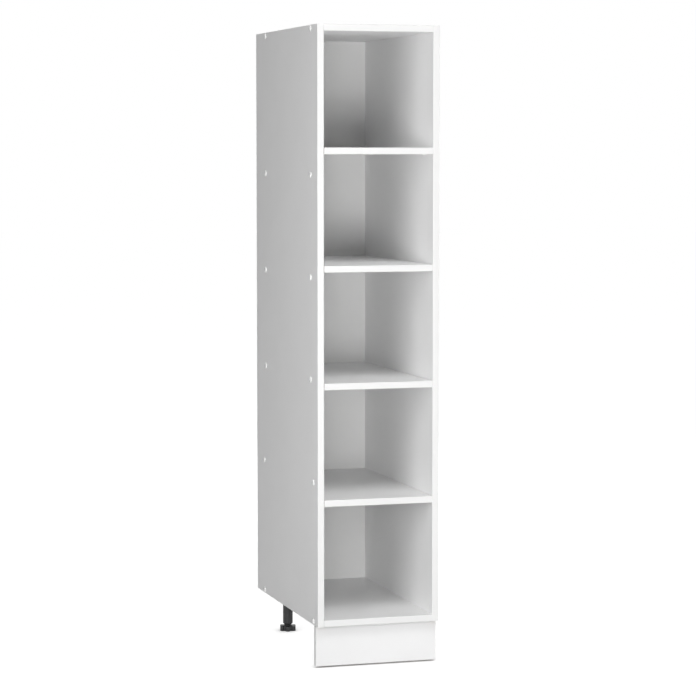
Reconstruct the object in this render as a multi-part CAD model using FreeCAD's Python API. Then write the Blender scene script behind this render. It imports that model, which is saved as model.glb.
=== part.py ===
import FreeCAD, Part

import math
import os

# Tall open-front kitchen shelf unit: melamine-faced boards with banded front edges, screwed together
# through the sides, a thin back in grooves, four loose shelves on pins, a clip-on plinth and four
# black screw-adjustable legs.
# Millimetres, +Z up. The origin is on the floor under the middle of the unit, and the front faces -Y.

# Carcass
unit_width = 300.0
unit_depth = 560.0
carcass_height = 1416.0
leg_height = 100.0
board_thickness = 16.0
band_thickness = 2.0
band_edge_radius = 1.6
middle_opening_height = 260.0
middle_opening_count = 3

# Back panel and the grooves that hold it
back_thickness = 3.0
back_rear_inset = 14.0
groove_depth = 8.0
groove_side_clearance = 0.1
groove_end_clearance = 1.0

# Loose shelves and the pins that they rest on
shelf_side_clearance = 0.5
shelf_rear_clearance = 0.8
pin_diameter = 5.0
pin_peg_length = 7.5
pin_lug_diameter = 6.0
pin_lug_length = 8.5
pin_flat_below_axis = 0.6
pin_front_inset = 60.0
pin_rear_inset = 60.0
pin_end_chamfer = 0.6

# Carcass screws: long stepped screws with a countersunk head and a hexagon socket
screw_length = 50.0
screw_shank_length = 12.0
screw_diameter = 7.0
screw_root_diameter = 4.8
screw_pitch = 3.0
screw_tip_length = 3.0
screw_head_diameter = 10.0
screw_head_rim = 0.8
screw_head_cone = 2.6
screw_head_recess = 0.3
screw_socket_across = 4.0
screw_socket_depth = 4.5

# Domed covers on the outer faces of the sides, over the screws and in the spare holes between them
cap_diameter = 14.0
cap_height = 3.0
cap_rim_height = 2.35
cap_rim_radius = 0.4
cap_stem_length = 3.5
plug_stem_diameter = 8.0
plug_stem_length = 7.5
plug_first_height = 341.0
plug_row_pitch = 242.0
plug_row_count = 4
upper_rows_front_inset = 58.0
upper_rows_rear_inset = 92.0
lower_rows_front_inset = 36.0
lower_rows_rear_inset = 74.0
lower_plug_rows = 1

# Legs
leg_side_inset = 60.0
leg_end_inset = 74.0
flange_width = 56.0
flange_thickness = 4.0
flange_corner_radius = 8.0
flange_screw_spacing = 40.0
collar_diameter = 32.0
collar_depth = 22.0
gusset_reach = 9.0
gusset_drop = 14.0
gusset_thickness = 2.5
tube_diameter = 25.0
tube_floor_gap = 18.0
tube_end_chamfer = 1.2
foot_height = 13.0
foot_lobe_count = 6
foot_lobe_radius = 5.5
foot_lobe_centre_radius = 16.5
foot_valley_radius = 3.5
foot_turn = 15.0
foot_edge_radius = 1.2
foot_core_diameter = 12.0
foot_core_depth = 48.0
spindle_diameter = 20.2
spindle_root_diameter = 17.6
spindle_length = 48.0
spindle_pitch = 4.0

# Small countersunk wood screws that hold the leg flanges and the plinth clips
wood_screw_length = 15.0
wood_screw_diameter = 3.5
wood_screw_root_diameter = 2.4
wood_screw_pitch = 1.6
wood_screw_shank_length = 4.0
wood_screw_tip_length = 2.5
wood_screw_head_diameter = 7.0
wood_screw_head_rim = 0.4
wood_screw_head_cone = 1.9
wood_screw_slot_width = 1.1
wood_screw_slot_length = 3.6
wood_screw_slot_depth = 1.6

# Plinth and the clips that snap on to the front legs
plinth_setback = 18.0
plinth_floor_gap = 4.0
plinth_top_gap = 1.0
clip_plate_width = 40.0
clip_plate_height = 44.0
clip_plate_thickness = 4.0
clip_screw_spacing = 32.0
clip_ring_height = 20.0
clip_ring_wall = 3.2
clip_arm_reach = 8.0
clip_lip = 0.2
clip_lip_length = 2.0
clip_web_thickness = 2.6
clip_web_spacing = 14.0
clip_centre_height = 50.0

# Fits
fit_clearance = 0.05
socket_clearance = 0.1
spindle_clearance = 0.1
clip_clearance = 0.4
hole_end_clearance = 0.8

# Share of a thread's pitch that each sloping flank takes; the flat crest takes the rest
thread_flank_share = 0.4

# Places worked out from the sizes above
half_width = unit_width / 2
inner_half_width = half_width - board_thickness
front_y = -unit_depth / 2
rear_y = unit_depth / 2
board_front_y = front_y + band_thickness
carcass_z = leg_height
top_z = leg_height + carcass_height
deck_z = carcass_z + board_thickness
ceiling_z = top_z - board_thickness
back_rear_y = rear_y - back_rear_inset
back_front_y = back_rear_y - back_thickness
shelf_count = middle_opening_count + 1
shelf_pitch = middle_opening_height + board_thickness
shelf_stack_height = shelf_count * board_thickness + middle_opening_count * middle_opening_height
first_shelf_z = (deck_z + ceiling_z - shelf_stack_height) / 2
shelf_undersides = [first_shelf_z + number * shelf_pitch for number in range(shelf_count)]
shelf_rear_y = back_front_y - shelf_rear_clearance
shelf_half_width = inner_half_width - shelf_side_clearance
plinth_front_y = front_y + plinth_setback
plinth_rear_y = plinth_front_y + board_thickness
plinth_top_z = carcass_z - plinth_top_gap
leg_x = half_width - leg_side_inset
front_leg_y = front_y + leg_end_inset
rear_leg_y = rear_y - leg_end_inset
leg_places = {
    "front_left": (-leg_x, front_leg_y),
    "front_right": (leg_x, front_leg_y),
    "rear_left": (-leg_x, rear_leg_y),
    "rear_right": (leg_x, rear_leg_y),
}
sides = {"left": -1, "right": 1}


def vec(x, y, z):
    return FreeCAD.Vector(x, y, z)


def block(x_range, y_range, z_range):
    """Box between two limits on each axis, given in either order."""
    limits = [sorted(pair) for pair in (x_range, y_range, z_range)]
    corner = vec(*[low for low, high in limits])
    return Part.makeBox(*[high - low for low, high in limits], corner)


def placed(shape, point, direction):
    """Copy of a shape whose own +Z axis is turned to a direction and whose origin goes to a point."""
    copy = shape.copy()
    turn = FreeCAD.Rotation(vec(0, 0, 1), vec(*direction))
    copy.Placement = FreeCAD.Placement(vec(*point), turn)
    return copy


def turned(outline):
    """Solid of revolution about Z from (radius, height) points, the last joined to the first."""
    points = [vec(radius, 0, height) for radius, height in outline]
    face = Part.Face(Part.makePolygon(points + points[:1]))
    return face.revolve(vec(0, 0, 0), vec(0, 0, 1), 360)


def thread_outline(start, end, crest_radius, root_radius, pitch):
    """Crest and root points of ridges that stand for a thread, from one height up to another."""
    points = [(root_radius, start)]
    turns = int((end - start) / pitch)
    for number in range(turns):
        low = start + number * pitch
        high = low + pitch
        flank = thread_flank_share * pitch
        points += [(crest_radius, low + flank), (crest_radius, high - flank), (root_radius, high)]
    if points[-1][1] < end:
        points.append((root_radius, end))
    return points


def hex_prism(across, length):
    corner_radius = across / math.sqrt(3)
    angles = [math.radians(60 * number) for number in range(7)]
    points = [vec(corner_radius * math.cos(a), corner_radius * math.sin(a), 0) for a in angles]
    return Part.Face(Part.makePolygon(points)).extrude(vec(0, 0, length))


def band(x_range, z_range):
    """Front edging strip, glued to a board's front edge, with its two long front edges rounded."""
    strip = block(x_range, (front_y, board_front_y), z_range)
    span = {"X": abs(x_range[1] - x_range[0]), "Z": abs(z_range[1] - z_range[0])}
    longest = max(span.values())
    long_edges = []
    for edge in strip.Edges:
        on_front = all(abs(vertex.Y - front_y) < fit_clearance for vertex in edge.Vertexes)
        if on_front and abs(edge.Length - longest) < fit_clearance:
            long_edges.append(edge)
    return strip.makeFillet(band_edge_radius, long_edges)


# Carcass screws. Each is drawn along +Z from the outer face of its head to its tip.

def carcass_screw():
    head_radius = screw_head_diameter / 2
    shank_radius = screw_diameter / 2
    root_radius = screw_root_diameter / 2
    head_end = screw_head_rim + screw_head_cone
    thread_start = head_end + screw_shank_length
    outline = [(0, 0), (head_radius, 0), (head_radius, screw_head_rim), (shank_radius, head_end)]
    outline += [(shank_radius, thread_start)]
    outline += thread_outline(
        thread_start, screw_length - screw_tip_length, shank_radius, root_radius, screw_pitch
    )
    outline += [(0, screw_length)]
    return turned(outline).cut(hex_prism(screw_socket_across, screw_socket_depth))


def carcass_screw_hole():
    """Stepped hole for a carcass screw, from the board's outer face to past the tip."""
    head_radius = screw_head_diameter / 2 + fit_clearance
    shank_radius = screw_diameter / 2 + fit_clearance
    rim_end = screw_head_recess + screw_head_rim
    head_end = rim_end + screw_head_cone
    hole_end = screw_head_recess + screw_length + hole_end_clearance
    outline = [(0, 0), (head_radius, 0), (head_radius, rim_end), (shank_radius, head_end)]
    return turned(outline + [(shank_radius, hole_end), (0, hole_end)])


def cap_dome():
    """Low cap on the XY plane with an upright rim, rounded into a slightly domed top, rising along +Z."""
    rim_centre = cap_diameter / 2 - cap_rim_radius
    rise = cap_height - cap_rim_height
    top_radius = rim_centre ** 2 + rise ** 2 - cap_rim_radius ** 2
    top_radius /= 2 * (rise - cap_rim_radius)
    join_angle = math.asin(rim_centre / (top_radius - cap_rim_radius))

    def on_rim(angle):
        height = cap_rim_height + cap_rim_radius * math.cos(angle)
        return vec(rim_centre + cap_rim_radius * math.sin(angle), 0, height)

    def on_top(angle):
        return vec(top_radius * math.sin(angle), 0, cap_height - top_radius * (1 - math.cos(angle)))

    level = math.pi / 2
    rim_foot = vec(cap_diameter / 2, 0, 0)
    edges = [
        Part.LineSegment(vec(0, 0, 0), rim_foot).toShape(),
        Part.LineSegment(rim_foot, on_rim(level)).toShape(),
        Part.Arc(on_rim(level), on_rim((level + join_angle) / 2), on_rim(join_angle)).toShape(),
        Part.Arc(on_top(join_angle), on_top(join_angle / 2), on_top(0)).toShape(),
        Part.LineSegment(on_top(0), vec(0, 0, 0)).toShape(),
    ]
    return Part.Face(Part.Wire(edges)).revolve(vec(0, 0, 0), vec(0, 0, 1), 360)


def screw_cap():
    """Cover cap: a dome with a hexagonal stem that presses into the screw's socket."""
    stem = hex_prism(screw_socket_across - 2 * fit_clearance, cap_stem_length + screw_head_recess)
    return cap_dome().fuse(placed(stem, (0, 0, 0), (0, 0, -1))).removeSplitter()


def hole_plug():
    """Cover plug: the same dome with a round stem that presses into a blind hole."""
    stem = Part.makeCylinder(plug_stem_diameter / 2 - fit_clearance, plug_stem_length)
    return cap_dome().fuse(placed(stem, (0, 0, 0), (0, 0, -1))).removeSplitter()


def plug_hole():
    return Part.makeCylinder(plug_stem_diameter / 2, plug_stem_length + hole_end_clearance)


def row_places(height, is_lower):
    """The front and rear places of one row on a side, as (y, z)."""
    front_inset = lower_rows_front_inset if is_lower else upper_rows_front_inset
    rear_inset = lower_rows_rear_inset if is_lower else upper_rows_rear_inset
    return [(front_y + front_inset, height), (rear_y - rear_inset, height)]


bottom_screw_places = row_places(carcass_z + board_thickness / 2, True)
top_screw_places = row_places(top_z - board_thickness / 2, False)
screw_places = bottom_screw_places + top_screw_places
plug_places = []
for row in range(plug_row_count):
    plug_places += row_places(carcass_z + plug_first_height + row * plug_row_pitch, row < lower_plug_rows)


def on_sides(shape, places, depth, outward):
    """Copies of a shape at each place on both outer side faces, sunk by a depth."""
    copies = []
    for sign in sides.values():
        direction = (sign if outward else -sign, 0, 0)
        for y, z in places:
            copies.append(placed(shape, (sign * (half_width - depth), y, z), direction))
    return copies


# Shelf pins. Each is drawn along +Z: the peg goes down into the side, the lug stands out of it.

def shelf_pin():
    """Moulded pin whose lug is cut to a low tongue, flat along its +X side where the shelf rests."""
    lug_radius = pin_lug_diameter / 2
    peg_radius = pin_diameter / 2
    outline = [(0, -pin_peg_length), (peg_radius - pin_end_chamfer, -pin_peg_length)]
    outline += [(peg_radius, -pin_peg_length + pin_end_chamfer), (peg_radius, 0), (lug_radius, 0)]
    outline += [(lug_radius, pin_lug_length - pin_end_chamfer)]
    outline += [(lug_radius - pin_end_chamfer, pin_lug_length), (0, pin_lug_length)]
    above_flat = block(
        (-pin_flat_below_axis, pin_lug_diameter),
        (-pin_lug_diameter, pin_lug_diameter),
        (-pin_peg_length, pin_lug_length + pin_lug_diameter),
    )
    lug_zone = block(
        (-pin_lug_diameter, pin_lug_diameter),
        (-pin_lug_diameter, pin_lug_diameter),
        (0, pin_lug_length + pin_lug_diameter),
    )
    return turned(outline).cut(above_flat.common(lug_zone))


def pin_hole():
    depth = pin_peg_length + hole_end_clearance
    return Part.makeCylinder(pin_diameter / 2 + fit_clearance, depth, vec(0, 0, -depth))


def on_inner_sides(shape):
    """Copies of a shape, its +Z towards the middle and its +X up, under each shelf's four corners."""
    copies = []
    pin_lines = (front_y + pin_front_inset, shelf_rear_y - pin_rear_inset)
    for sign in sides.values():
        turn = FreeCAD.Rotation(vec(0, 0, 1), vec(0, -sign, 0), vec(-sign, 0, 0), "ZXY")
        for underside in shelf_undersides:
            for y in pin_lines:
                copy = shape.copy()
                point = vec(sign * inner_half_width, y, underside + pin_flat_below_axis)
                copy.Placement = FreeCAD.Placement(point, turn)
                copies.append(copy)
    return copies


# Boards

def back_groove():
    """Block as large as the back panel and its clearances, which cuts the top and bottom grooves."""
    reach = inner_half_width + groove_depth
    return block(
        (-reach, reach),
        (back_front_y - groove_side_clearance, back_rear_y + groove_side_clearance),
        (deck_z - groove_depth, ceiling_z + groove_depth),
    )


def side_groove(sign):
    """Groove that runs the full height of a side."""
    return block(
        (sign * inner_half_width, sign * (inner_half_width + groove_depth)),
        (back_front_y - groove_side_clearance, back_rear_y + groove_side_clearance),
        (carcass_z, top_z),
    )


def side_panel(sign):
    panel = block((sign * inner_half_width, sign * half_width), (board_front_y, rear_y), (carcass_z, top_z))
    cuts = [side_groove(sign)]
    cuts += on_sides(carcass_screw_hole(), screw_places, 0, False)
    cuts += on_sides(plug_hole(), plug_places, 0, False)
    cuts += on_inner_sides(pin_hole())
    return panel.cut(cuts)


def top_panel():
    panel = block((-inner_half_width, inner_half_width), (board_front_y, rear_y), (ceiling_z, top_z))
    return panel.cut([back_groove()] + on_sides(carcass_screw_hole(), top_screw_places, 0, False))


def bottom_panel():
    panel = block((-inner_half_width, inner_half_width), (board_front_y, rear_y), (carcass_z, deck_z))
    cuts = [back_groove()]
    cuts += on_sides(carcass_screw_hole(), bottom_screw_places, 0, False)
    cuts += at_flange_corners(wood_screw_hole(), carcass_z - flange_thickness)
    return panel.cut(cuts)


def back_panel():
    reach = inner_half_width + groove_depth - groove_end_clearance
    lap = groove_depth - groove_end_clearance
    return block((-reach, reach), (back_front_y, back_rear_y), (deck_z - lap, ceiling_z + lap))


def shelf(underside):
    return block(
        (-shelf_half_width, shelf_half_width),
        (board_front_y, shelf_rear_y),
        (underside, underside + board_thickness),
    )


# Small wood screws, drawn along +Z from the outer face of the head to the tip

def wood_screw():
    head_radius = wood_screw_head_diameter / 2
    shank_radius = wood_screw_diameter / 2
    head_end = wood_screw_head_rim + wood_screw_head_cone
    thread_start = head_end + wood_screw_shank_length
    outline = [(0, 0), (head_radius, 0), (head_radius, wood_screw_head_rim), (shank_radius, head_end)]
    outline += [(shank_radius, thread_start)]
    outline += thread_outline(
        thread_start,
        wood_screw_length - wood_screw_tip_length,
        shank_radius,
        wood_screw_root_diameter / 2,
        wood_screw_pitch,
    )
    outline += [(0, wood_screw_length)]
    slot_long = (-wood_screw_slot_length / 2, wood_screw_slot_length / 2)
    slot_wide = (-wood_screw_slot_width / 2, wood_screw_slot_width / 2)
    slot_deep = (0, wood_screw_slot_depth)
    cross = [block(slot_long, slot_wide, slot_deep), block(slot_wide, slot_long, slot_deep)]
    return turned(outline).cut(cross)


def wood_screw_hole():
    """Countersunk hole for a wood screw, from the plate's outer face to past the tip."""
    head_radius = wood_screw_head_diameter / 2 + fit_clearance
    shank_radius = wood_screw_diameter / 2 + fit_clearance
    head_end = wood_screw_head_rim + wood_screw_head_cone
    hole_end = wood_screw_length + hole_end_clearance
    outline = [(0, 0), (head_radius, 0), (head_radius, wood_screw_head_rim), (shank_radius, head_end)]
    return turned(outline + [(shank_radius, hole_end), (0, hole_end)])


def at_flange_corners(shape, height):
    """Copies of a shape pointing up at the four screw places of every leg flange."""
    copies = []
    offset = flange_screw_spacing / 2
    for x, y in leg_places.values():
        for dx, dy in ((-offset, -offset), (offset, -offset), (-offset, offset), (offset, offset)):
            copies.append(placed(shape, (x + dx, y + dy, height), (0, 0, 1)))
    return copies


# Legs. Each has a flange with a collar under the bottom panel, a tube in the collar and a screw foot.

def leg_socket(x, y):
    plate_z = carcass_z - flange_thickness
    half = flange_width / 2
    plate = block((x - half, x + half), (y - half, y + half), (plate_z, carcass_z))
    corners = [edge for edge in plate.Edges if abs(edge.Length - flange_thickness) < fit_clearance]
    plate = plate.makeFillet(flange_corner_radius, corners)
    collar_z = plate_z - collar_depth
    collar = Part.makeCylinder(collar_diameter / 2, collar_depth, vec(x, y, collar_z))
    gussets = []
    for quarter in range(4):
        near = collar_diameter / 2 - gusset_thickness / 2
        far = collar_diameter / 2 + gusset_reach
        outline = [vec(near, 0, 0), vec(far, 0, 0), vec(near, 0, -gusset_drop), vec(near, 0, 0)]
        rib = Part.Face(Part.makePolygon(outline)).extrude(vec(0, gusset_thickness, 0))
        rib.translate(vec(0, -gusset_thickness / 2, 0))
        rib.rotate(vec(0, 0, 0), vec(0, 0, 1), 90 * quarter)
        rib.translate(vec(x, y, plate_z))
        gussets.append(rib)
    body = plate.fuse([collar] + gussets).removeSplitter()
    bore = Part.makeCylinder(tube_diameter / 2 + socket_clearance, collar_depth, vec(x, y, collar_z))
    return body.cut([bore] + at_flange_corners(wood_screw_hole(), plate_z))


def leg_tube(x, y):
    top = carcass_z - flange_thickness
    outer = tube_diameter / 2
    inner = spindle_diameter / 2 + spindle_clearance
    outline = [(inner, tube_floor_gap), (outer - tube_end_chamfer, tube_floor_gap)]
    outline += [(outer, tube_floor_gap + tube_end_chamfer), (outer, top), (inner, top)]
    tube = turned(outline)
    tube.translate(vec(x, y, 0))
    return tube


def foot_outline():
    """Star-knob outline of tangent arcs: lobes to grip, joined by hollows."""
    step = 2 * math.pi / foot_lobe_count
    half_step = step / 2
    reach = foot_lobe_radius + foot_valley_radius
    along = foot_lobe_centre_radius * math.cos(half_step)
    across = foot_lobe_centre_radius * math.sin(half_step)
    valley_centre_radius = along + math.sqrt(reach ** 2 - across ** 2)

    def polar(radius, angle):
        return vec(radius * math.cos(angle), radius * math.sin(angle), 0)

    def tangent_point(lobe_angle, valley_angle):
        lobe = polar(foot_lobe_centre_radius, lobe_angle)
        valley = polar(valley_centre_radius, valley_angle)
        return lobe + (valley - lobe) * (foot_lobe_radius / reach)

    edges = []
    for number in range(foot_lobe_count):
        angle = math.radians(foot_turn) + number * step
        start = tangent_point(angle, angle - half_step)
        end = tangent_point(angle, angle + half_step)
        following = tangent_point(angle + step, angle + half_step)
        crown = polar(foot_lobe_centre_radius + foot_lobe_radius, angle)
        hollow = polar(valley_centre_radius - foot_valley_radius, angle + half_step)
        edges.append(Part.Arc(start, crown, end).toShape())
        edges.append(Part.Arc(end, hollow, following).toShape())
    return Part.Wire(edges)


def leg_foot(x, y):
    """Star-shaped foot in one piece with the hollow threaded spindle that turns in the tube."""
    star = Part.Face(foot_outline()).extrude(vec(0, 0, foot_height))
    rims = [edge for edge in star.Edges if abs(edge.BoundBox.ZLength) < fit_clearance]
    star = star.makeFillet(foot_edge_radius, rims)
    top = foot_height + spindle_length
    crest = spindle_diameter / 2
    root = spindle_root_diameter / 2
    overlap = foot_height / 2
    outline = [(0, overlap), (root, overlap)]
    outline += thread_outline(foot_height, top, crest, root, spindle_pitch)
    spindle = turned(outline + [(0, top)])
    core = Part.makeCylinder(foot_core_diameter / 2, foot_core_depth)
    foot = star.fuse(spindle).removeSplitter().cut(core)
    foot.translate(vec(x, y, 0))
    return foot


# Plinth and its clips. The clips are screwed to the plinth's back and snap on to the front leg tubes.

def plinth_panel():
    reach = half_width - band_thickness
    board = block((-reach, reach), (plinth_front_y, plinth_rear_y), (plinth_floor_gap, plinth_top_z))
    return board.cut(at_clip_screws(wood_screw_hole()))


def plinth_end_band(sign):
    """End edging strip, glued to an end of the plinth, with its two upright outer edges rounded."""
    end_x = sign * half_width
    strip = block(
        (sign * (half_width - band_thickness), end_x),
        (plinth_front_y, plinth_rear_y),
        (plinth_floor_gap, plinth_top_z),
    )
    upright_edges = []
    for edge in strip.Edges:
        on_end = all(abs(vertex.X - end_x) < fit_clearance for vertex in edge.Vertexes)
        if on_end and edge.BoundBox.ZLength > plinth_top_z / 2:
            upright_edges.append(edge)
    return strip.makeFillet(band_edge_radius, upright_edges)


def at_clip_screws(shape):
    """Copies of a shape pointing at the plinth, two on each clip's plate, one above the other."""
    copies = []
    y = plinth_rear_y + clip_plate_thickness
    for sign in sides.values():
        for offset in (-clip_screw_spacing / 2, clip_screw_spacing / 2):
            copies.append(placed(shape, (sign * leg_x, y, clip_centre_height + offset), (0, -1, 0)))
    return copies


def plinth_clip(sign):
    x = sign * leg_x
    low_z = clip_centre_height - clip_ring_height / 2
    high_z = clip_centre_height + clip_ring_height / 2
    ring_z = (low_z, high_z)
    bore_radius = tube_diameter / 2 + clip_clearance
    outer_radius = bore_radius + clip_ring_wall
    plate_back_y = plinth_rear_y + clip_plate_thickness
    arm_end_y = front_leg_y + clip_arm_reach
    half_plate = clip_plate_width / 2
    plate = block(
        (x - half_plate, x + half_plate),
        (plinth_rear_y, plate_back_y),
        (clip_centre_height - clip_plate_height / 2, clip_centre_height + clip_plate_height / 2),
    )
    pieces = [Part.makeCylinder(outer_radius, clip_ring_height, vec(x, front_leg_y, low_z))]
    pieces.append(block((x - outer_radius, x + outer_radius), (front_leg_y, arm_end_y), ring_z))
    for offset in (-clip_web_spacing / 2, clip_web_spacing / 2):
        web_x = (x + offset - clip_web_thickness / 2, x + offset + clip_web_thickness / 2)
        pieces.append(block(web_x, (plate_back_y, front_leg_y), ring_z))
    body = plate.fuse(pieces).removeSplitter()
    opening = block((x - bore_radius, x + bore_radius), (front_leg_y, front_leg_y + outer_radius), ring_z)
    behind = block((x - half_plate, x + half_plate), (arm_end_y, front_leg_y + 2 * outer_radius), ring_z)
    bore = Part.makeCylinder(bore_radius, clip_ring_height, vec(x, front_leg_y, low_z))
    body = body.cut([bore, opening, behind])
    lips = []
    for side in (-1, 1):
        lip_x = (x + side * (bore_radius - clip_lip), x + side * (bore_radius + clip_ring_wall / 2))
        lips.append(block(lip_x, (arm_end_y - clip_lip_length, arm_end_y), ring_z))
    body = body.fuse(lips).removeSplitter()
    return body.cut(at_clip_screws(wood_screw_hole()))


def carcass_nodes():
    nodes = {
        "top_panel": top_panel(),
        "bottom_panel": bottom_panel(),
        "back_panel": back_panel(),
        "top_edge_band": band((-inner_half_width, inner_half_width), (ceiling_z, top_z)),
        "bottom_edge_band": band((-inner_half_width, inner_half_width), (carcass_z, deck_z)),
        "carcass_screws": on_sides(carcass_screw(), screw_places, screw_head_recess, False),
        "screw_caps": on_sides(screw_cap(), screw_places, 0, True),
        "hole_plugs": on_sides(hole_plug(), plug_places, 0, True),
        "shelf_pins": on_inner_sides(shelf_pin()),
    }
    for side, sign in sides.items():
        nodes[f"{side}_side_panel"] = side_panel(sign)
        band_x = (sign * inner_half_width, sign * half_width)
        nodes[f"{side}_side_edge_band"] = band(band_x, (carcass_z, top_z))
    return nodes


def shelf_nodes():
    nodes = {}
    for number, underside in enumerate(shelf_undersides, start=1):
        nodes[f"shelf_{number}"] = shelf(underside)
        band_z = (underside, underside + board_thickness)
        nodes[f"shelf_{number}_edge_band"] = band((-shelf_half_width, shelf_half_width), band_z)
    return nodes


def leg_nodes():
    nodes = {"leg_screws": at_flange_corners(wood_screw(), carcass_z - flange_thickness)}
    for place, (x, y) in leg_places.items():
        nodes[f"leg_socket_{place}"] = leg_socket(x, y)
        nodes[f"leg_tube_{place}"] = leg_tube(x, y)
        nodes[f"leg_foot_{place}"] = leg_foot(x, y)
    return nodes


def plinth_nodes():
    nodes = {"plinth_panel": plinth_panel(), "plinth_clip_screws": at_clip_screws(wood_screw())}
    for side, sign in sides.items():
        nodes[f"plinth_end_band_{side}"] = plinth_end_band(sign)
        nodes[f"plinth_clip_{side}"] = plinth_clip(sign)
    return nodes


def main():
    os.makedirs("parts", exist_ok=True)
    for nodes in (carcass_nodes(), shelf_nodes(), leg_nodes(), plinth_nodes()):
        for name, shape in nodes.items():
            solid = Part.makeCompound(shape) if isinstance(shape, list) else shape
            solid.exportStep(f"parts/{name}.step")
            print(f"{name}: {len(solid.Solids)} solids, {solid.Volume / 1000:.2f} cm3, valid {solid.isValid()}")


main()
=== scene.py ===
import math

import bmesh
import bpy
from mathutils import Matrix, Vector


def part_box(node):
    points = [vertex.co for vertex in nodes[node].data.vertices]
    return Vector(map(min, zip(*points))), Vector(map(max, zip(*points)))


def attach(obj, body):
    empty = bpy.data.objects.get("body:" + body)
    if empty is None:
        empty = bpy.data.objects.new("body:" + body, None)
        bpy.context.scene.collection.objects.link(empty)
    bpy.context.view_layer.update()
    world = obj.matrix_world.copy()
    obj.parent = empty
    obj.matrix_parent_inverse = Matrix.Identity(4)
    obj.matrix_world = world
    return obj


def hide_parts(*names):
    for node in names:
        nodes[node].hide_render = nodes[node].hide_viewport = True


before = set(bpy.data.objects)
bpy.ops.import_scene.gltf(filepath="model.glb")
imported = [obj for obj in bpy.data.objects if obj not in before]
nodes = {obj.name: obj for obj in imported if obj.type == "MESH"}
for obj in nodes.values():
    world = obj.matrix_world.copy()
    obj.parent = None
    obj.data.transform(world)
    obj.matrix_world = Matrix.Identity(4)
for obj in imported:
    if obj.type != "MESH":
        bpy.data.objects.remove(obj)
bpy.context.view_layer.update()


# Boards: chipboard pressed from wood chips, faced on both sides with white melamine paper.
# The faces have a satin, slightly pearled press finish; sawn edges without edging show the chips.

def add_node(tree, kind, inputs=None, **settings):
    """Adds a shader node, sets its options and feeds its inputs with values or other sockets."""
    made = tree.nodes.new("ShaderNode" + kind)
    for name, value in settings.items():
        setattr(made, name, value)
    for name, value in (inputs or {}).items():
        if isinstance(value, bpy.types.NodeSocket):
            tree.links.new(value, made.inputs[name])
        else:
            made.inputs[name].default_value = value
    return made


def place_group(tree, group, inputs):
    """Places a shader node group in a material and gives its outputs."""
    return add_node(tree, "Group", inputs, node_tree=group).outputs


def calculate(tree, operation, first, second=0.0):
    return add_node(tree, "Math", {0: first, 1: second}, operation=operation).outputs[0]


def along(tree, vector, axis):
    """How far a vector reaches along an axis."""
    dot = add_node(tree, "VectorMath", {0: vector, 1: axis}, operation="DOT_PRODUCT")
    return dot.outputs["Value"]


def mix_values(tree, factor, first, second):
    return add_node(tree, "Mix", {0: factor, 2: first, 3: second}).outputs[0]


def mix_colours(tree, factor, first, second):
    return add_node(tree, "Mix", {0: factor, 6: first, 7: second}, data_type="RGBA").outputs[2]


def spread_noise(tree, vector, scale, detail, low, high):
    """Noise spread over low to high; its raw value mostly lies between 0.3 and 0.7."""
    noise = add_node(tree, "TexNoise", {"Vector": vector, "Scale": scale, "Detail": detail})
    limits = {"From Min": 0.3, "From Max": 0.7, "To Min": low, "To Max": high}
    spread = add_node(tree, "MapRange", {"Value": noise.outputs["Fac"], **limits})
    return spread.outputs["Result"]


def effect_group(name, inputs, outputs):
    """An empty shader node group with named sockets, and its input and output nodes' sockets."""
    group = bpy.data.node_groups.new(name, "ShaderNodeTree")
    kinds = {"Vector": "NodeSocketVector", "Colour": "NodeSocketColor"}
    for in_out, sockets in (("INPUT", inputs), ("OUTPUT", outputs)):
        for socket in sockets:
            kind = kinds.get(socket, "NodeSocketFloat")
            group.interface.new_socket(socket, in_out=in_out, socket_type=kind)
    given = group.nodes.new("NodeGroupInput").outputs
    put_out = group.nodes.new("NodeGroupOutput").inputs
    return group, given, put_out


def put_out_tone(group, given, put_out, tone, strength):
    """Puts out the given colour, made lighter and darker by a tone of the given strength."""
    value = calculate(group, "ADD", calculate(group, "MULTIPLY", tone, given[strength]), 1.0)
    shade = add_node(group, "HueSaturation", {"Color": given["Colour"], "Value": value})
    group.links.new(shade.outputs["Color"], put_out["Colour"])


def pressed_finish_group():
    """Satin pressed surface: cloudy tone, tiny flecks, streaks in the gloss and a pearl bump."""
    satin_roughness = 0.46
    group, given, put_out = effect_group(
        "pressed_finish",
        ["Vector", "Colour", "Clouding", "Gloss Streaks"],
        ["Colour", "Roughness", "Height"],
    )
    place = given["Vector"]
    clouds = spread_noise(group, place, scale=7.0, detail=4.0, low=-1.0, high=1.0)
    flecks = spread_noise(group, place, scale=520.0, detail=1.0, low=-0.4, high=0.4)
    put_out_tone(group, given, put_out, calculate(group, "ADD", clouds, flecks), "Clouding")
    streaks = spread_noise(group, place, scale=26.0, detail=6.0, low=-1.0, high=1.0)
    gloss = calculate(group, "MULTIPLY", streaks, given["Gloss Streaks"])
    group.links.new(calculate(group, "ADD", gloss, satin_roughness), put_out["Roughness"])
    pearls = spread_noise(group, place, scale=1400.0, detail=2.0, low=0.0, high=1.0)
    group.links.new(pearls, put_out["Height"])
    return group


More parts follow.
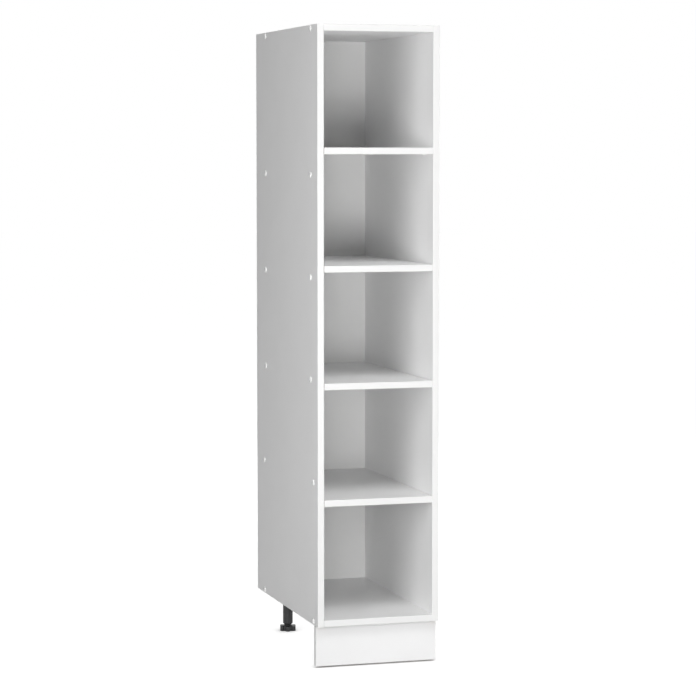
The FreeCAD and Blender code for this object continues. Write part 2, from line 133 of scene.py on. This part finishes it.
def chip_core_group():
    """Pressed wood chips: coarse ones in the middle of the board, fine ones towards its faces."""
    dark_chip = (0.26, 0.155, 0.075, 1)
    plain_chip = (0.54, 0.385, 0.225, 1)
    pale_chip = (0.74, 0.59, 0.39, 1)
    coarse, fine = 1.0, 3.4
    coarse_end, fine_start = 0.0042, 0.0058
    least_fine, most_fine = 0.25, 0.9
    plain_share = 0.4
    inputs, outputs = ["Vector", "Off Middle"], ["Colour", "Height"]
    group, given, put_out = effect_group("chip_core", inputs, outputs)
    shades = []
    for scale in (coarse, fine):
        cells = add_node(group, "TexVoronoi", {"Vector": given["Vector"], "Scale": scale})
        parted = add_node(group, "SeparateColor", {"Color": cells.outputs["Color"]})
        wood = add_node(group, "ValToRGB", {"Fac": parted.outputs["Red"]})
        wood.color_ramp.elements[0].color = dark_chip
        wood.color_ramp.elements[1].color = pale_chip
        wood.color_ramp.elements.new(plain_share).color = plain_chip
        shades.append(wood.outputs["Color"])
    layers = {
        "Value": given["Off Middle"],
        "From Min": coarse_end,
        "From Max": fine_start,
        "To Min": least_fine,
        "To Max": most_fine,
    }
    fineness = add_node(group, "MapRange", layers)
    chips = mix_colours(group, fineness.outputs["Result"], *shades)
    group.links.new(chips, put_out["Colour"])
    group.links.new(cells.outputs["Distance"], put_out["Height"])
    return group


def start_material(name):
    """A node material with its tree, Principled shader and texture coordinates."""
    material = bpy.data.materials.new(name)
    material.use_nodes = True
    tree = material.node_tree
    return material, tree, tree.nodes["Principled BSDF"], add_node(tree, "TexCoord").outputs


def connect(tree, shader, colour, roughness, height, bump_depth):
    """Feeds a Principled shader with a colour, a roughness and a bump of a depth in metres."""
    bump = add_node(tree, "Bump", {"Height": height, "Distance": bump_depth, "Strength": 1.0})
    tree.links.new(colour, shader.inputs["Base Color"])
    tree.links.new(roughness, shader.inputs["Roughness"])
    tree.links.new(bump.outputs["Normal"], shader.inputs["Normal"])


def dress(material, *names):
    """Gives CAD nodes a material in place of their plain one."""
    for name in names:
        nodes[name].data.materials.clear()
        nodes[name].data.materials.append(material)


pressed_finish = pressed_finish_group()
chip_core = chip_core_group()
melamine_white = (0.92, 0.92, 0.92, 1)
chip_length, chip_thickness = 0.0035, 0.0012
paper_thickness = 0.00015
pearl_depth, sawn_depth = 0.00002, 0.0003
sawn_roughness = 0.85
facing_limit = 0.7


def board_material(board, face_axis):
    """Melamine on the faces square to face_axis, and bare chips between them on the sawn edges."""
    material, tree, shader, coordinates = start_material(board + "_melamine")
    place = coordinates["Object"]
    finish = {"Vector": place, "Colour": melamine_white, "Clouding": 0.012, "Gloss Streaks": 0.05}
    face = place_group(tree, pressed_finish, finish)
    low, high = [Vector(corner).dot(Vector(face_axis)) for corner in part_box(board)]
    off_middle = calculate(tree, "SUBTRACT", along(tree, place, face_axis), (low + high) / 2)
    off_middle = calculate(tree, "ABSOLUTE", off_middle)
    chips_per_metre = [1 / chip_thickness if across else 1 / chip_length for across in face_axis]
    grid = add_node(tree, "Mapping", {"Vector": place, "Scale": chips_per_metre}).outputs["Vector"]
    core = place_group(tree, chip_core, {"Vector": grid, "Off Middle": off_middle})
    facing = calculate(tree, "ABSOLUTE", along(tree, coordinates["Normal"], face_axis))
    faced = calculate(tree, "GREATER_THAN", facing, facing_limit)
    paper = calculate(tree, "GREATER_THAN", off_middle, (high - low) / 2 - paper_thickness)
    white = calculate(tree, "MAXIMUM", faced, paper)
    colour = mix_colours(tree, white, core["Colour"], face["Colour"])
    rough = mix_values(tree, white, sawn_roughness, face["Roughness"])
    pearl = calculate(tree, "MULTIPLY", face["Height"], pearl_depth / sawn_depth)
    height = mix_values(tree, white, core["Height"], pearl)
    connect(tree, shader, colour, rough, height, sawn_depth)
    return material


board_axes = {
    "left_side_panel": (1, 0, 0),
    "right_side_panel": (1, 0, 0),
    "plinth_panel": (0, 1, 0),
}
for board in ["top_panel", "bottom_panel", "shelf_1", "shelf_2", "shelf_3", "shelf_4"]:
    board_axes[board] = (0, 0, 1)
for board, face_axis in board_axes.items():
    dress(board_material(board, face_axis), board)


# Back: a thin hard fibreboard, lacquered white towards the inside and left brown towards the wall.
# It slides into grooves in the sides, top and bottom, and is held by them alone.

lacquer_white = (0.87, 0.87, 0.865, 1)
dark_fibre, pale_fibre = (0.16, 0.095, 0.05, 1), (0.40, 0.265, 0.155, 1)
fibre_roughness = 0.7
fibre_stretch = (1.0, 1.0, 0.4)
screen_pitch, screen_depth = 0.0018, 0.00012
wave_pitch_at_scale_1 = math.tau / 20


def fibreboard_material():
    """White lacquer inside, brown fibres with the imprint of the pressing screen behind."""
    material, tree, shader, coordinates = start_material("lacquered_fibreboard")
    place = coordinates["Object"]
    finish = {"Vector": place, "Colour": lacquer_white, "Clouding": 0.015, "Gloss Streaks": 0.06}
    lacquer = place_group(tree, pressed_finish, finish)
    drawn_out = add_node(tree, "Mapping", {"Vector": place, "Scale": fibre_stretch})
    fibres = drawn_out.outputs["Vector"]
    fibre_tone = spread_noise(tree, fibres, scale=380.0, detail=8.0, low=0.0, high=1.0)
    patches = spread_noise(tree, place, scale=14.0, detail=3.0, low=-0.12, high=0.12)
    brown = add_node(tree, "ValToRGB", {"Fac": calculate(tree, "ADD", fibre_tone, patches)})
    brown.color_ramp.elements[0].color = dark_fibre
    brown.color_ramp.elements[1].color = pale_fibre
    wave = {"Vector": place, "Scale": wave_pitch_at_scale_1 / screen_pitch, "Distortion": 0.5}
    waves = []
    for direction in ("X", "Z"):
        waves.append(add_node(tree, "TexWave", wave, bands_direction=direction).outputs["Fac"])
    screen = calculate(tree, "MULTIPLY", *waves)
    facing = along(tree, coordinates["Normal"], (0, -1, 0))
    inside = calculate(tree, "GREATER_THAN", facing, facing_limit)
    colour = mix_colours(tree, inside, brown.outputs["Color"], lacquer["Colour"])
    rough = mix_values(tree, inside, fibre_roughness, lacquer["Roughness"])
    pearl = calculate(tree, "MULTIPLY", lacquer["Height"], pearl_depth / screen_depth)
    height = mix_values(tree, inside, screen, pearl)
    connect(tree, shader, colour, rough, height, screen_depth)
    return material


dress(fibreboard_material(), "back_panel")


# Edging: two millimetres of white plastic strip, glued hot to the sawn edges that show.
# Its long corners are milled round, and the cutter leaves fine lines along the strip.

def moulded_grain_group():
    """Moulded or drawn surface: a little mottle, uneven gloss and a fine grain."""
    group, given, put_out = effect_group(
        "moulded_grain",
        ["Vector", "Colour", "Grain Scale", "Mottle", "Roughness", "Gloss Spread"],
        ["Colour", "Roughness", "Height"],
    )
    place = given["Vector"]
    mottle = spread_noise(group, place, scale=45.0, detail=3.0, low=-1.0, high=1.0)
    put_out_tone(group, given, put_out, mottle, "Mottle")
    patches = spread_noise(group, place, scale=90.0, detail=5.0, low=-1.0, high=1.0)
    gloss = calculate(group, "MULTIPLY", patches, given["Gloss Spread"])
    group.links.new(calculate(group, "ADD", gloss, given["Roughness"]), put_out["Roughness"])
    fine = {"Vector": place, "Scale": given["Grain Scale"], "Detail": 3.0}
    group.links.new(add_node(group, "TexNoise", fine).outputs["Fac"], put_out["Height"])
    return group


moulded_grain = moulded_grain_group()


def grained_material(
    name, colour, grain, mottle, roughness, gloss_spread, depth, stretch=(1, 1, 1)
):
    """Plastic or plated metal whose grain is drawn out along the axes where stretch is small."""
    material, tree, shader, coordinates = start_material(name)
    stretched = add_node(tree, "Mapping", {"Vector": coordinates["Object"], "Scale": stretch})
    values = {
        "Vector": stretched.outputs["Vector"],
        "Colour": colour,
        "Grain Scale": grain,
        "Mottle": mottle,
        "Roughness": roughness,
        "Gloss Spread": gloss_spread,
    }
    surface = place_group(tree, moulded_grain, values)
    connect(tree, shader, surface["Colour"], surface["Roughness"], surface["Height"], depth)
    return material


edging_white = (0.88, 0.88, 0.875, 1)
drawn = 0.03


def edging_material(name, stretch):
    return grained_material(
        name, colour=edging_white, grain=900.0, mottle=0.01, roughness=0.36,
        gloss_spread=0.06, depth=0.00001, stretch=stretch,
    )


dress(
    edging_material("upright_edging", (1, 1, drawn)),
    "left_side_edge_band", "right_side_edge_band", "plinth_end_band_left", "plinth_end_band_right",
)
dress(
    edging_material("level_edging", (drawn, 1, 1)),
    "top_edge_band", "bottom_edge_band", *[f"shelf_{number}_edge_band" for number in range(1, 5)],
)


# Covers: small white plastic caps with an upright rim, pressed into the sides by their stems.
# They close the heads of the carcass screws and the spare holes between them.

cover_white = grained_material(
    "white_cover", colour=(0.92, 0.92, 0.915, 1), grain=1200.0, mottle=0.01, roughness=0.28,
    gloss_spread=0.05, depth=0.000008,
)
dress(cover_white, "screw_caps", "hole_plugs")


# Shelf pins: white plastic pegs pushed into the sides, four under each shelf.
# Each ends in a low tongue with a flat top, on which the shelf lies loose.

pin_white = grained_material(
    "white_pin", colour=(0.88, 0.88, 0.86, 1), grain=1000.0, mottle=0.02, roughness=0.40,
    gloss_spread=0.06, depth=0.00001,
)
dress(pin_white, "shelf_pins")


# Screws: zinc plated steel, hidden but for the heads under the leg flanges and behind the plinth.
# They hold the carcass together, the leg flanges under the bottom and the clips on the plinth.

zinc_plate = grained_material(
    "zinc_plate", colour=(0.72, 0.72, 0.70, 1), grain=2500.0, mottle=0.08, roughness=0.34,
    gloss_spread=0.08, depth=0.000005,
)
zinc_plate.node_tree.nodes["Principled BSDF"].inputs["Metallic"].default_value = 1.0
dress(zinc_plate, "carcass_screws", "leg_screws", "plinth_clip_screws")


# Legs: black plastic mouldings, each a flange with a collar under the bottom and a tube pressed in.
# The plinth clips are of the same plastic, screwed to the back of the plinth.

black_moulding = grained_material(
    "black_moulding", colour=(0.018, 0.018, 0.019, 1), grain=1500.0, mottle=0.25, roughness=0.48,
    gloss_spread=0.09, depth=0.00003,
)
dress(black_moulding, *[name for name in nodes if name.startswith(("leg_socket", "leg_tube"))])
dress(black_moulding, "plinth_clip_left", "plinth_clip_right")


# Screw feet: six-lobed stars to turn by hand, each moulded in one with a hollow threaded spindle.
# The spindle screws into the leg's tube, so that the unit can be levelled.
# Screwed right in, the star stays a tenth of a millimetre short of the tube.

foot_height, foot_edge_round, foot_edge_segments = 0.0129, 0.0012, 4
lobe_count, lobe_radius, lobe_ring, hollow_radius = 6, 0.0055, 0.0165, 0.0035
lobe_steps, hollow_steps = 16, 8
first_lobe = math.radians(15)
core_radius, core_depth, core_segments = 0.006, 0.048, 32
crest_radius, root_radius, thread_pitch = 0.0101, 0.0088, 0.004
crest_start, crest_end = 0.4 * thread_pitch, 0.6 * thread_pitch
spindle_top, spindle_overlap = 0.061, 0.001
thread_steps = 40
rim_angle, crease_angle = 1.0, math.radians(32)
merge_distance = 0.000001


def edges_on(shape, height):
    """The open edges of a mesh that lie at a height."""
    return [
        edge for edge in shape.edges
        if edge.is_boundary and all(abs(vert.co.z - height) < merge_distance for vert in edge.verts)
    ]


def cut_level(shape, height, **cleared):
    """Cuts a mesh level at a height and clears what lies on one side of the cut."""
    whole = shape.verts[:] + shape.edges[:] + shape.faces[:]
    bmesh.ops.bisect_plane(
        shape, geom=whole, plane_co=(0, 0, height), plane_no=(0, 0, 1), **cleared
    )


def lift(shape, made, height):
    """Lifts the vertices among newly made geometry."""
    verts = [item for item in made["geom"] if isinstance(item, bmesh.types.BMVert)]
    bmesh.ops.translate(shape, verts=verts, vec=(0, 0, height))


def star_shape():
    """Star with rounded lobes and a hole, drawn as one lobe and one hollow and turned round."""
    shape = bmesh.new()
    half_step = math.pi / lobe_count
    lobe = Vector((lobe_ring, 0, 0))
    reach = lobe_radius + hollow_radius
    hollow_ring = lobe_ring * math.cos(half_step)
    hollow_ring += math.sqrt(reach ** 2 - (lobe_ring * math.sin(half_step)) ** 2)
    hollow = Vector((hollow_ring * math.cos(half_step), hollow_ring * math.sin(half_step), 0))
    joint = lobe + (hollow - lobe) * (lobe_radius / reach)
    turn = math.atan2(joint.y, joint.x - lobe_ring)
    start = shape.verts.new((joint.x, -joint.y, 0))
    round_lobe = bmesh.ops.spin(
        shape, geom=[start], cent=lobe, axis=(0, 0, 1), angle=2 * turn, steps=lobe_steps
    )
    bmesh.ops.spin(
        shape, geom=round_lobe["geom_last"], cent=hollow, axis=(0, 0, -1),
        angle=2 * (turn - half_step), steps=hollow_steps,
    )
    bmesh.ops.spin(
        shape, geom=shape.verts[:] + shape.edges[:], cent=(0, 0, 0), axis=(0, 0, 1),
        angle=math.tau - 2 * half_step, steps=lobe_count - 1, use_duplicate=True,
    )
    bmesh.ops.remove_doubles(shape, verts=shape.verts, dist=merge_distance)
    to_first_lobe = Matrix.Rotation(first_lobe, 3, "Z")
    bmesh.ops.rotate(shape, verts=shape.verts, cent=(0, 0, 0), matrix=to_first_lobe)
    bmesh.ops.create_circle(shape, segments=core_segments, radius=core_radius)
    bmesh.ops.bridge_loops(shape, edges=shape.edges[:])
    upper_side = bmesh.ops.extrude_face_region(shape, geom=shape.faces[:], use_keep_orig=True)
    lift(shape, upper_side, foot_height)
    bmesh.ops.recalc_face_normals(shape, faces=shape.faces)
    rims = [
        edge for edge in shape.edges
        if edge.calc_face_angle() > rim_angle and edge.calc_length() < foot_height / 2
        and edge.verts[0].co.xy.length > crest_radius
    ]
    bmesh.ops.bevel(
        shape, geom=rims, offset=foot_edge_round, segments=foot_edge_segments, profile=0.5,
        affect="EDGES", material=-1,
    )
    return shape


def spindle_shape():
    """Hollow spindle with a helical thread, wound from one turn's profile and cut level."""
    shape = bmesh.new()
    spindle_foot = foot_height - spindle_overlap
    thread_foot = spindle_foot - 2 * thread_pitch
    turns = math.ceil((spindle_top - thread_foot) / thread_pitch) + 1
    corners = [
        (root_radius, 0), (crest_radius, crest_start),
        (crest_radius, crest_end), (root_radius, thread_pitch),
    ]
    profile = [shape.verts.new((radius, 0, thread_foot + height)) for radius, height in corners]
    flanks = [shape.edges.new(pair) for pair in zip(profile, profile[1:])]
    bmesh.ops.spin(
        shape, geom=profile + flanks, cent=(0, 0, 0), axis=(0, 0, 1),
        dvec=(0, 0, thread_pitch / thread_steps), angle=math.tau * turns,
        steps=thread_steps * turns,
    )
    bmesh.ops.remove_doubles(shape, verts=shape.verts, dist=merge_distance)
    cut_level(shape, spindle_top, clear_outer=True)
    cut_level(shape, spindle_foot, clear_inner=True)
    bmesh.ops.contextual_create(shape, geom=edges_on(shape, spindle_top))
    lower_rim = edges_on(shape, spindle_foot)
    ring = bmesh.ops.create_circle(
        shape, segments=core_segments, radius=core_radius,
        matrix=Matrix.Translation((0, 0, spindle_foot)),
    )
    core_rim = [edge for edge in shape.edges if all(vert in ring["verts"] for vert in edge.verts)]
    bmesh.ops.bridge_loops(shape, edges=lower_rim + core_rim)
    core_wall = bmesh.ops.extrude_edge_only(shape, edges=core_rim)
    lift(shape, core_wall, core_depth - spindle_foot)
    bmesh.ops.contextual_create(shape, geom=edges_on(shape, core_depth))
    bmesh.ops.recalc_face_normals(shape, faces=shape.faces)
    return shape


foot_mesh = bpy.data.meshes.new("screw_foot")
star, spindle = star_shape(), spindle_shape()
star.to_mesh(foot_mesh)
spindle.from_mesh(foot_mesh)
spindle.to_mesh(foot_mesh)
star.free()
spindle.free()
foot_mesh.shade_smooth()
foot_mesh.set_sharp_from_angle(angle=crease_angle)
foot_mesh.materials.append(black_moulding)
for place in ("front_left", "front_right", "rear_left", "rear_right"):
    low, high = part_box("leg_foot_" + place)
    mesh = foot_mesh.copy()
    middle = ((low[0] + high[0]) / 2, (low[1] + high[1]) / 2, low[2])
    mesh.transform(Matrix.Translation(middle))
    foot = bpy.data.objects.new("screw_foot_" + place, mesh)
    bpy.context.collection.objects.link(foot)
    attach(foot, "foot_" + place)
    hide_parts("leg_foot_" + place)


# Stage: a plain white floor that keeps the soft shadow and carries a painted contact shadow, a
# white surround and seven soft lamps.
# The camera stands about 1.2 m high and looks at the unit from the left of its front.

def seen_directly(tree):
    """Mask that is 1 for what the camera sees, straight, in a gloss or through glass, else 0."""
    rays = add_node(tree, "LightPath").outputs
    mirrored = calculate(tree, "MAXIMUM", rays["Is Glossy Ray"], rays["Is Transmission Ray"])
    return calculate(tree, "MAXIMUM", rays["Is Camera Ray"], mirrored)


def floor_material():
    """Pale floor that takes real shadows near the unit, carries a painted contact shadow under the
    plinth and feet, and fades to plain white further away.
    """
    floor_grey = 0.5
    fade_start, fade_end, near_whiteness = 0.5, 1.6, 0.86
    contact_shadow_reach = 0.03
    material, tree, shader, coordinates = start_material("pale_floor")
    shader.inputs["Base Color"].default_value = (floor_grey, floor_grey, floor_grey, 1)
    shader.inputs["Roughness"].default_value = 0.9
    shader.inputs["Specular IOR Level"].default_value = 0.0
    shader.inputs["Emission Color"].default_value = (1, 1, 1, 1)
    distance = add_node(tree, "VectorMath", {0: coordinates["Object"]}, operation="LENGTH")
    fade = {
        "Value": distance.outputs["Value"],
        "From Min": fade_start,
        "From Max": fade_end,
        "To Min": near_whiteness,
        "To Max": 1.0,
    }
    faded = add_node(tree, "MapRange", fade, interpolation_type="SMOOTHSTEP").outputs["Result"]
    # Ambient occlusion dims the floor's glow within a few centimetres of the unit: painted contact
    # shadow under the plinth and around the feet.
    painted_contact_shadow = add_node(tree, "AmbientOcclusion", {"Distance": contact_shadow_reach})
    glow_with_painted_shadow = calculate(tree, "MULTIPLY", faded, painted_contact_shadow.outputs["AO"])
    seen = calculate(tree, "MULTIPLY", seen_directly(tree), glow_with_painted_shadow)
    tree.links.new(seen, shader.inputs["Emission Strength"])
    return material


floor_half_width = 30.0
floor_mesh = bpy.data.meshes.new("floor")
floor = bpy.data.objects.new("floor", floor_mesh)
bpy.context.collection.objects.link(floor)
shape = bmesh.new()
bmesh.ops.create_grid(shape, x_segments=2, y_segments=2, size=floor_half_width)
shape.to_mesh(floor_mesh)
shape.free()
floor_mesh.materials.append(floor_material())

world = bpy.data.worlds.new("white_surround")
bpy.context.scene.world = world
world.use_nodes = True
sky = world.node_tree
sky.nodes["Background"].inputs["Color"].default_value = (1, 1, 1, 1)
sky.links.new(seen_directly(sky), sky.nodes["Background"].inputs["Strength"])


def softbox(name, place, target, size, power):
    """Rectangular lamp of a width and height in metres, turned towards a target."""
    light = bpy.data.lights.new(name, "AREA")
    light.shape = "RECTANGLE"
    light.size, light.size_y = size
    light.energy = power
    lamp = bpy.data.objects.new(name, light)
    lamp.location = place
    towards = Vector(target) - Vector(place)
    lamp.rotation_euler = towards.to_track_quat("-Z", "Y").to_euler()
    bpy.context.collection.objects.link(lamp)


softbox("low_front_softbox", (-1.0, -4.4, 0.45), (0, -0.28, 0.75), size=(1.4, 0.8), power=46.0)
softbox("near_softbox", (-0.55, -1.7, 0.75), (0.1, -0.28, 0.3), size=(0.8, 0.3), power=4.4)
softbox("front_right_softbox", (1.5, -1.05, 0.35), (0, -0.28, 0.35), size=(0.5, 0.5), power=5.4)
softbox("left_softbox", (-2.25, -1.8, 1.35), (-0.15, 0, 0.93), size=(1.4, 1.6), power=29.0)
softbox("overhead_softbox", (0.15, -2.1, 3.05), (0, -0.28, 0.8), size=(2.0, 1.2), power=37.0)
softbox("rear_softbox", (2.2, 3.4, 1.4), (0.1, 0.2, 0.8), size=(1.6, 1.6), power=60.0)
softbox("right_softbox", (2.2, 0.6, 2.9), (0.15, 0, 0.8), size=(1.4, 1.4), power=24.0)

camera_tilt, camera_turn = math.radians(-4.551), math.radians(-16.757)
level_view = math.radians(90)
camera_data = bpy.data.cameras.new("camera")
camera_data.lens = 127.5
camera_data.sensor_width = 36.0
camera = bpy.data.objects.new("camera", camera_data)
camera.location = (-1.739, -5.804, 1.220)
camera.rotation_euler = (level_view + camera_tilt, 0, camera_turn)
bpy.context.collection.objects.link(camera)
bpy.context.scene.camera = camera
bpy.context.scene.view_settings.view_transform = "Standard"
